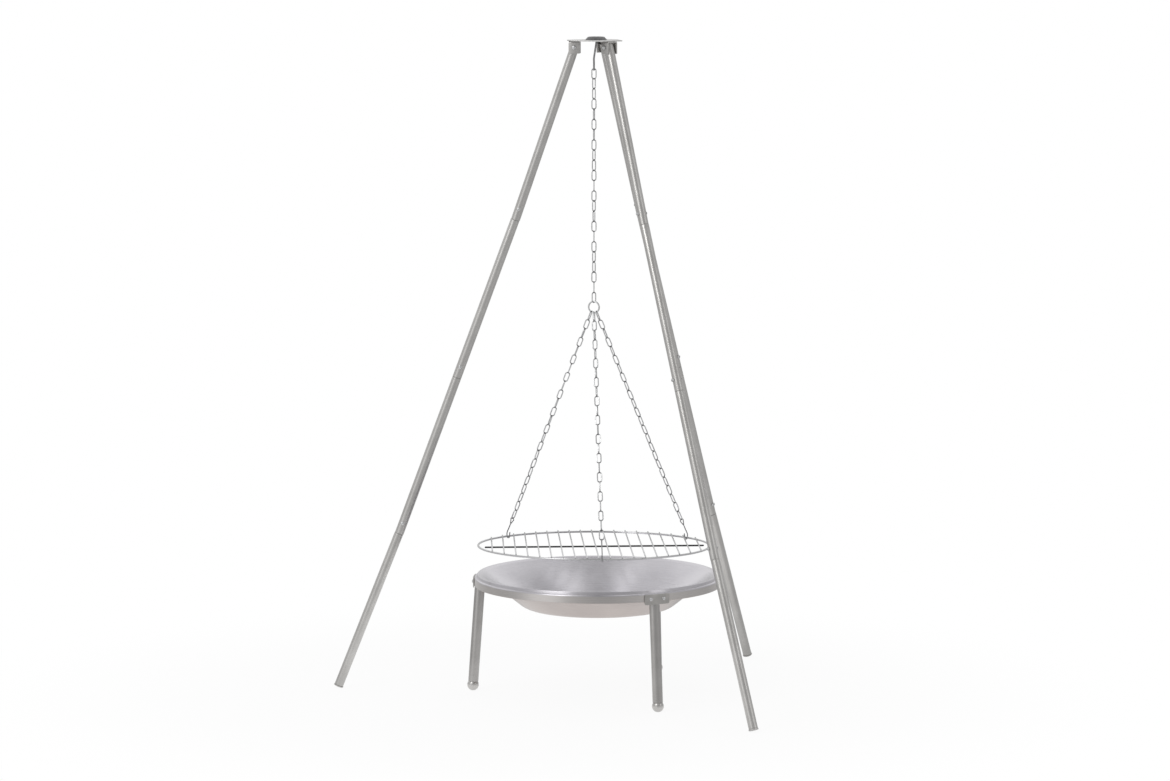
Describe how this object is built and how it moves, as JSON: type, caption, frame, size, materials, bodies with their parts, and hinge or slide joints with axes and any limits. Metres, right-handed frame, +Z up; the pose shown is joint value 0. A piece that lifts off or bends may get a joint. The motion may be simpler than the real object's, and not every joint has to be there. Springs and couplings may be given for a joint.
{
  "type": "tripod fire pit with swing grill",
  "caption": "Tripod of sectional tube legs with a round cooking grate hung on chains over a shallow steel fire bowl that stands on its own short legs.",
  "frame": {"origin": "on the ground under the middle of the object's bounding box", "axes": "+Z up; +X to the right and +Y to the back as the picture shows the object"},
  "size_m": [1.098, 1.0998, 1.6813],
  "materials": {
    "tube": "satin silver-grey coat",
    "zinc": "bright zinc plate",
    "steel": "brushed stainless sheet",
    "chrome": "chromed wire",
    "dark": "dark satin"
  },
  "bodies": {
    "head": {"top_plate": "tube", "hub_cap": "dark", "left_clevis": "tube", "left_clevis_bolt": "zinc", "front_clevis": "tube", "front_clevis_bolt": "zinc", "back_clevis": "tube", "back_clevis_bolt": "zinc"},
    "leg_left": {"left_tube_1": "tube", "left_tube_2": "tube", "left_tube_3": "tube", "left_tube_4": "tube", "left_sleeve_screw_1": "zinc", "left_sleeve_screw_2": "zinc", "left_sleeve_screw_3": "zinc", "left_foot_cap": "tube"},
    "leg_front": {"front_tube_1": "tube", "front_tube_2": "tube", "front_tube_3": "tube", "front_tube_4": "tube", "front_sleeve_screw_1": "zinc", "front_sleeve_screw_2": "zinc", "front_sleeve_screw_3": "zinc", "front_foot_cap": "tube"},
    "leg_back": {"back_tube_1": "tube", "back_tube_2": "tube", "back_tube_3": "tube", "back_tube_4": "tube", "back_sleeve_screw_1": "zinc", "back_sleeve_screw_2": "zinc", "back_sleeve_screw_3": "zinc", "back_foot_cap": "tube"},
    "hanger": {"hanger_hook": "zinc"},
    "chain_top": {"chain_top_link": "zinc"},
    "chain": {"main_chain": "zinc"},
    "grate_set": {"chain_ring": "zinc", "grate": "chrome", "grate_support_bar": "dark", "left_bridle_chain": "zinc", "front_bridle_chain": "zinc", "right_bridle_chain": "zinc", "left_grate_hook": "zinc", "front_grate_hook": "zinc", "right_grate_hook": "zinc"},
    "bowl_set": {"bowl": "steel", "bowl_left_bracket": "steel", "bowl_left_leg": "tube", "bowl_left_ball_foot": "tube", "bowl_left_bolt_1": "zinc", "bowl_left_bolt_2": "zinc", "bowl_front_bracket": "steel", "bowl_front_leg": "tube", "bowl_front_ball_foot": "tube", "bowl_front_bolt_1": "zinc", "bowl_front_bolt_2": "zinc", "bowl_back_bracket": "steel", "bowl_back_leg": "tube", "bowl_back_ball_foot": "tube", "bowl_back_bolt_1": "zinc", "bowl_back_bolt_2": "zinc"}
  },
  "joints": [
    {"name": "leg_left_fold", "type": "hinge", "parent": "head", "child": "leg_left", "pos_m": [0.07437, 0.00237, 1.65402], "axis": [-0.1045, -0.9945, 0], "range_deg": [0, 8]},
    {"name": "leg_front_fold", "type": "hinge", "parent": "head", "child": "leg_front", "pos_m": [0.162, -0.03411, 1.65402], "axis": [-0.8192, -0.5736, 0], "range_deg": [-8, 0]},
    {"name": "leg_back_fold", "type": "hinge", "parent": "head", "child": "leg_back", "pos_m": [0.14978, 0.06002, 1.65402], "axis": [0.7771, -0.6293, 0], "range_deg": [-8, 0]},
    {"name": "hook_swivel", "type": "hinge", "parent": "head", "child": "hanger", "pos_m": [0.12872, 0.00943, 1.67252], "axis": [0, 0, 1], "continuous": true},
    {"name": "chain_swing_side", "type": "hinge", "parent": "hanger", "child": "chain_top", "pos_m": [0.12322, 0.00943, 1.59702], "axis": [0, 1, 0], "range_deg": [-5, 5]},
    {"name": "chain_swing_fore", "type": "hinge", "parent": "chain_top", "child": "chain", "pos_m": [0.12322, 0.00943, 1.57302], "axis": [-1, 0, 0], "range_deg": [-5, 5]},
    {"name": "ring_swing", "type": "hinge", "parent": "chain", "child": "grate_set", "pos_m": [0.12322, 0.00943, 1.00422], "axis": [-0.848, -0.5299, 0], "range_deg": [-4, 4]},
    {"name": "bowl_lift", "type": "slide", "parent": "head", "child": "bowl_set", "axis": [0, 0, 1], "range_m": [0, 0.02]}
  ]
}
